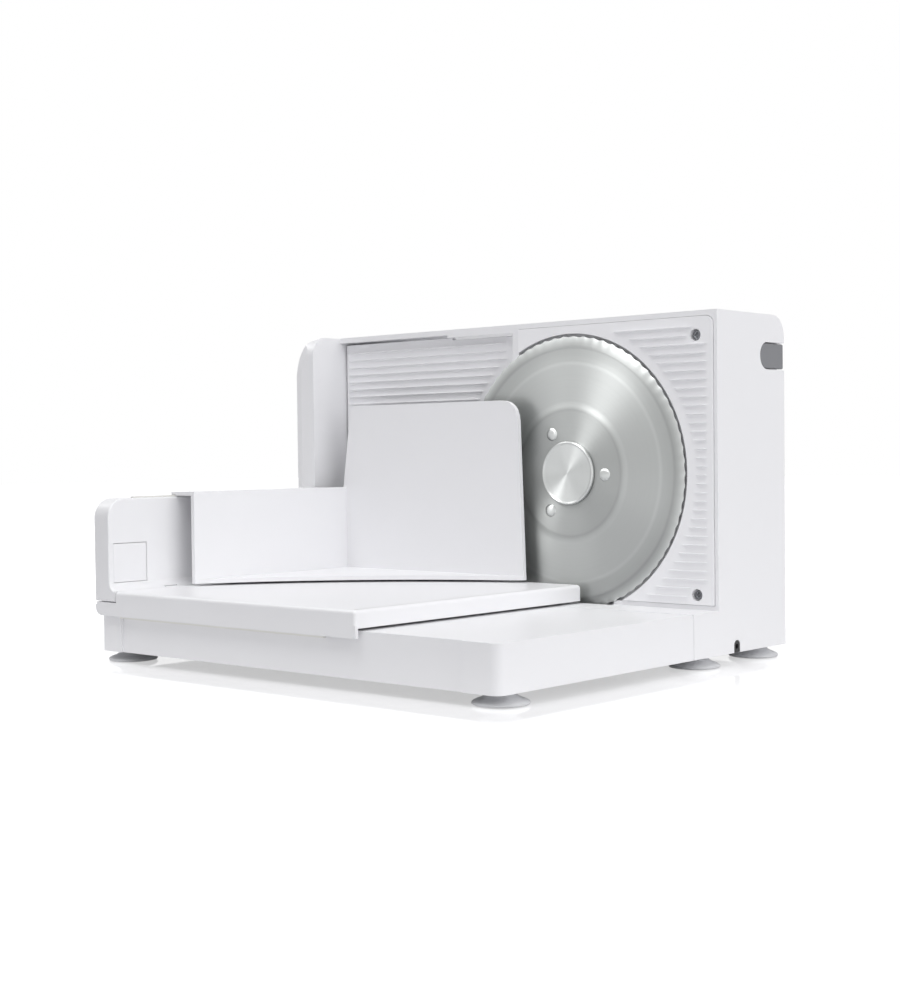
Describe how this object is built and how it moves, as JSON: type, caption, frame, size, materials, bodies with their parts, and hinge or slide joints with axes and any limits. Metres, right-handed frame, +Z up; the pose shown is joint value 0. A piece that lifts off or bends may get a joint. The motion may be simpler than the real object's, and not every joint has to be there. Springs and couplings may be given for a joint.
{
  "type": "folding food slicer",
  "caption": "Electric food slicer with a round blade, ribbed thickness fence, folding table, sliding carriage with folding side wall, lift-off food pusher, rear thickness knob and side switch.",
  "frame": {"origin": "Centre of the whole slicer's box, on the floor plane under the feet.", "axes": "+X runs along the carriage's travel, from the side wall towards the switch; +Y points to the rear, from the table towards the knob; +Z is up."},
  "size_m": [0.331, 0.2928, 0.208],
  "materials": {
    "white_plastic": "moulded satin",
    "light_grey_plastic": "moulded satin",
    "grey_plastic": "matte",
    "dark_plastic": "matte",
    "nylon": "natural",
    "grey_rubber": "matte",
    "dark_rubber": "matte",
    "polished_steel": "fine turned grain",
    "zinc_steel": "zinc plated",
    "bronze": "sintered"
  },
  "bodies": {
    "housing": {"housing_shell": "white_plastic", "face_panel": "light_grey_plastic", "panel_screw_bottom": "zinc_steel", "panel_screw_top": "zinc_steel", "motor_cover": "white_plastic", "motor_cover_screw_1": "zinc_steel", "motor_cover_screw_2": "zinc_steel", "motor_cover_screw_3": "zinc_steel", "motor_cover_screw_4": "zinc_steel", "dial_cover": "white_plastic", "dial_cover_screw_1": "zinc_steel", "dial_cover_screw_2": "zinc_steel", "dial_cover_screw_3": "zinc_steel", "dial_cover_screw_4": "zinc_steel", "bottom_cover": "light_grey_plastic", "bottom_cover_screw_1": "zinc_steel", "bottom_cover_screw_2": "zinc_steel", "bottom_cover_screw_3": "zinc_steel", "bottom_cover_screw_4": "zinc_steel", "foot_seam_right": "grey_rubber", "foot_seam_left": "grey_rubber", "foot_rear_right": "grey_rubber", "foot_rear_left": "grey_rubber", "shaft_bush_front": "bronze", "shaft_bush_rear": "bronze", "motor": "zinc_steel", "motor_bracket": "zinc_steel", "switch_body": "dark_plastic", "cord_grommet": "dark_rubber", "hinge_pin_left": "zinc_steel", "hinge_pin_right": "zinc_steel"},
    "cutter": {"blade": "polished_steel", "blade_shaft": "zinc_steel", "hub_cap": "polished_steel", "blade_rivet_1": "polished_steel", "blade_rivet_2": "polished_steel", "blade_rivet_3": "polished_steel", "drive_gear": "nylon"},
    "rotor": {"worm_shaft": "zinc_steel"},
    "switch": {"switch_button": "grey_plastic"},
    "knob": {"thickness_knob": "grey_plastic", "cam_drum": "nylon"},
    "fence": {"fence_plate": "light_grey_plastic", "fence_carrier": "nylon", "fence_rod_lower": "zinc_steel", "fence_rod_upper": "zinc_steel"},
    "table": {"table": "white_plastic", "foot_front_right": "grey_rubber", "foot_front_left": "grey_rubber"},
    "runner": {"carriage_runner": "nylon"},
    "carriage": {"carriage_plate": "white_plastic", "wall_pin": "zinc_steel"},
    "wall": {"carriage_wall": "white_plastic"},
    "latch": {"wall_latch": "white_plastic"},
    "rail": {"pusher_rail": "nylon"},
    "pusher": {"pusher": "white_plastic"}
  },
  "joints": [
    {"name": "blade_spin", "type": "hinge", "parent": "housing", "child": "cutter", "pos_m": [0.0565, 0.0541, 0.1132], "axis": [0, 1, 0], "continuous": true},
    {"name": "rotor_spin", "type": "hinge", "parent": "housing", "child": "rotor", "pos_m": [0.1005, 0.0961, 0.1132], "axis": [0, 0, 1], "continuous": true},
    {"name": "switch_press", "type": "slide", "parent": "housing", "child": "switch", "axis": [-1, 0, 0], "range_m": [0, 0.002], "stiffness_N_per_m": 900, "springref_m": -0.0015},
    {"name": "knob_turn", "type": "hinge", "parent": "housing", "child": "knob", "pos_m": [-0.137, 0.1321, 0.12], "axis": [0, 1, 0], "range_deg": [-120.1, 180.1]},
    {"name": "fence_slide", "type": "slide", "parent": "housing", "child": "fence", "axis": [0, 1, 0], "range_m": [-0.006, 0.009]},
    {"name": "table_fold", "type": "hinge", "parent": "housing", "child": "table", "pos_m": [0, 0.0268, 0.0305], "axis": [-1, 0, 0], "range_deg": [0, 90]},
    {"name": "carriage_slide", "type": "slide", "parent": "table", "child": "runner", "axis": [1, 0, 0], "range_m": [0, 0.095]},
    {"name": "carriage_draw", "type": "slide", "parent": "runner", "child": "carriage", "axis": [0, -0.98, 0.199], "range_m": [0, 0.2901]},
    {"name": "wall_fold", "type": "hinge", "parent": "carriage", "child": "wall", "pos_m": [-0.1406, 0, 0.043], "axis": [0, 1, 0], "range_deg": [0, 90]},
    {"name": "latch_press", "type": "slide", "parent": "wall", "child": "latch", "axis": [-1, 0, 0], "range_m": [0, 0.0015], "stiffness_N_per_m": 600, "springref_m": -0.001},
    {"name": "pusher_lift", "type": "slide", "parent": "carriage", "child": "rail", "axis": [0.5, 0, 0.866], "range_m": [0, 0.1886]},
    {"name": "pusher_slide", "type": "slide", "parent": "rail", "child": "pusher", "axis": [0, -1, 0], "range_m": [0, 0.12]}
  ],
  "couplings": [
    {"joint": "rotor_spin", "follows": "blade_spin", "ratio": 36},
    {"joint": "knob_turn", "follows": "fence_slide", "rad_per_m": 349.07},
    {"joint": "carriage_draw", "follows": "table_fold", "m_per_rad": 0.18462},
    {"joint": "pusher_lift", "follows": "wall_fold", "m_per_rad": 0.12}
  ]
}
